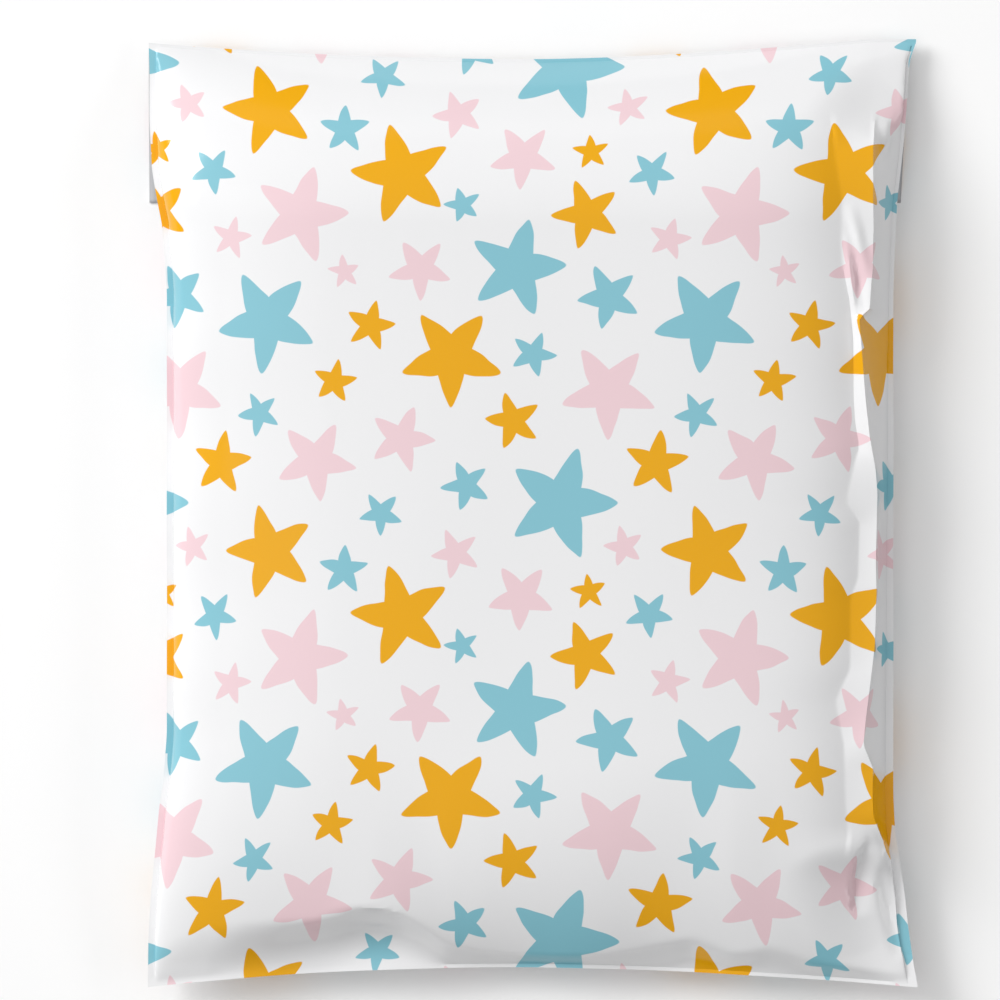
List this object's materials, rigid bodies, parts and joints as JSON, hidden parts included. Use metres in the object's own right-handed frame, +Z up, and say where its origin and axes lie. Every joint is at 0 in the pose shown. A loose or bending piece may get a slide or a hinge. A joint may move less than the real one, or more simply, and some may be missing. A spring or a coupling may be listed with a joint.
{
  "type": "poly mailer bag",
  "caption": "Filled and sealed film mailing bag with welded sides, a flap folded over the top and glued to its back, and a scattered star print, lying on its back",
  "frame": {"origin": "on the floor under the middle of the bag, the bottom centre of its box", "axes": "+X across the bag to the right of its printed face, +Y along it from the bottom seam to the top fold, +Z up out of the printed face"},
  "size_m": [0.254, 0.3134, 0.034],
  "materials": {
    "printed_film": "glossy white film printed all over with scattered five-pointed stars in mustard, pale blue and pale pink; plain light grey inside"
  },
  "bodies": {
    "root": {"mailer_bag": "printed_film"}
  },
  "joints": []
}
